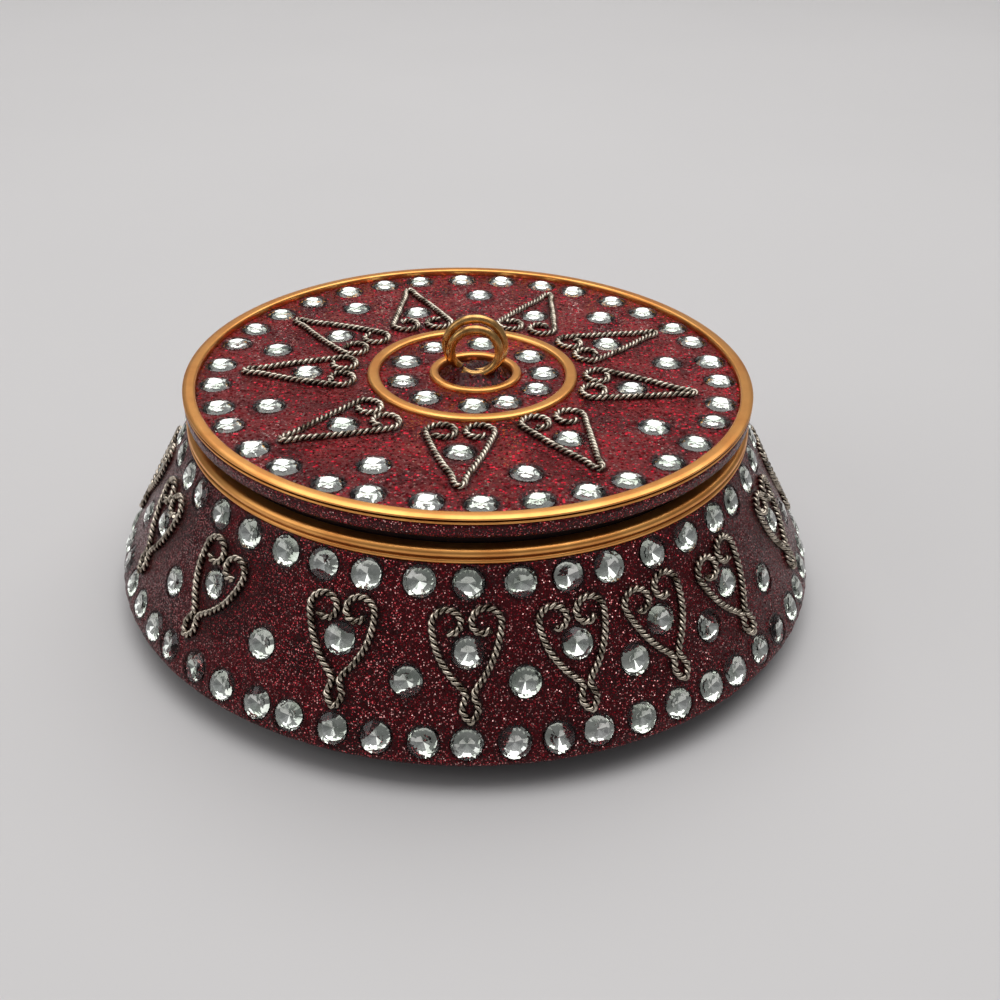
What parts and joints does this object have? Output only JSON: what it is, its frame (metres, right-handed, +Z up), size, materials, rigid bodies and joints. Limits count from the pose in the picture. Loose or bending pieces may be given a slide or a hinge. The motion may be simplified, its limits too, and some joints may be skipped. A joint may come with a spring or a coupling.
{
  "type": "trinket box",
  "caption": "Low round box with a flared flank, glitter enamel set with cut stones and twisted-wire motifs, and a lift-off lid with a ring handle.",
  "frame": {"origin": "on the box's axis, on the surface that its foot stands on", "axes": "+Z up along the box's axis; the front, from which it is usually seen, faces -Y"},
  "size_m": [0.1, 0.1, 0.0387],
  "materials": {
    "spun_metal": "spun, fine turning lines, slightly dulled",
    "gilt_bead": "polished, lacquered gold",
    "gilt_wire": "drawn wire, gilt, a little worn",
    "flank_enamel": "deep maroon lac enamel full of fine glitter, glossy",
    "lid_enamel": "maroon lac enamel full of pink and silver glitter, glossy",
    "cut_stones": "clear, faceted, foil-backed",
    "twisted_wire": "silver-plated twisted wire, oxidised"
  },
  "bodies": {
    "base": {"base_bottom_stones": "cut_stones", "base_enamel": "flank_enamel", "base_field_stones": "cut_stones", "base_motif_stones": "cut_stones", "base_motif_wire_01": "twisted_wire", "base_motif_wire_02": "twisted_wire", "base_motif_wire_03": "twisted_wire", "base_motif_wire_04": "twisted_wire", "base_motif_wire_05": "twisted_wire", "base_motif_wire_06": "twisted_wire", "base_motif_wire_07": "twisted_wire", "base_motif_wire_08": "twisted_wire", "base_motif_wire_09": "twisted_wire", "base_motif_wire_10": "twisted_wire", "base_motif_wire_11": "twisted_wire", "base_motif_wire_12": "twisted_wire", "base_motif_wire_13": "twisted_wire", "base_motif_wire_14": "twisted_wire", "base_motif_wire_15": "twisted_wire", "base_motif_wire_16": "twisted_wire", "base_motif_wire_17": "twisted_wire", "base_motif_wire_18": "twisted_wire", "base_pan": "spun_metal", "base_rim_ring": "gilt_bead", "base_top_stones": "cut_stones"},
    "lid": {"handle_mound": "lid_enamel", "handle_ring": "gilt_wire", "lid_band_enamel": "flank_enamel", "lid_centre_ring": "gilt_bead", "lid_centre_stones": "cut_stones", "lid_field_stones": "cut_stones", "lid_inner_enamel": "lid_enamel", "lid_middle_ring": "gilt_bead", "lid_motif_stones": "cut_stones", "lid_motif_wire_01": "twisted_wire", "lid_motif_wire_02": "twisted_wire", "lid_motif_wire_03": "twisted_wire", "lid_motif_wire_04": "twisted_wire", "lid_motif_wire_05": "twisted_wire", "lid_motif_wire_06": "twisted_wire", "lid_motif_wire_07": "twisted_wire", "lid_motif_wire_08": "twisted_wire", "lid_motif_wire_09": "twisted_wire", "lid_outer_enamel": "lid_enamel", "lid_pan": "spun_metal", "lid_rim_ring": "gilt_bead", "lid_rim_stones": "cut_stones"}
  },
  "joints": [
    {"name": "lid_lift", "type": "slide", "parent": "base", "child": "lid", "axis": [0, 0, 1], "range_m": [0, 0.03]}
  ]
}
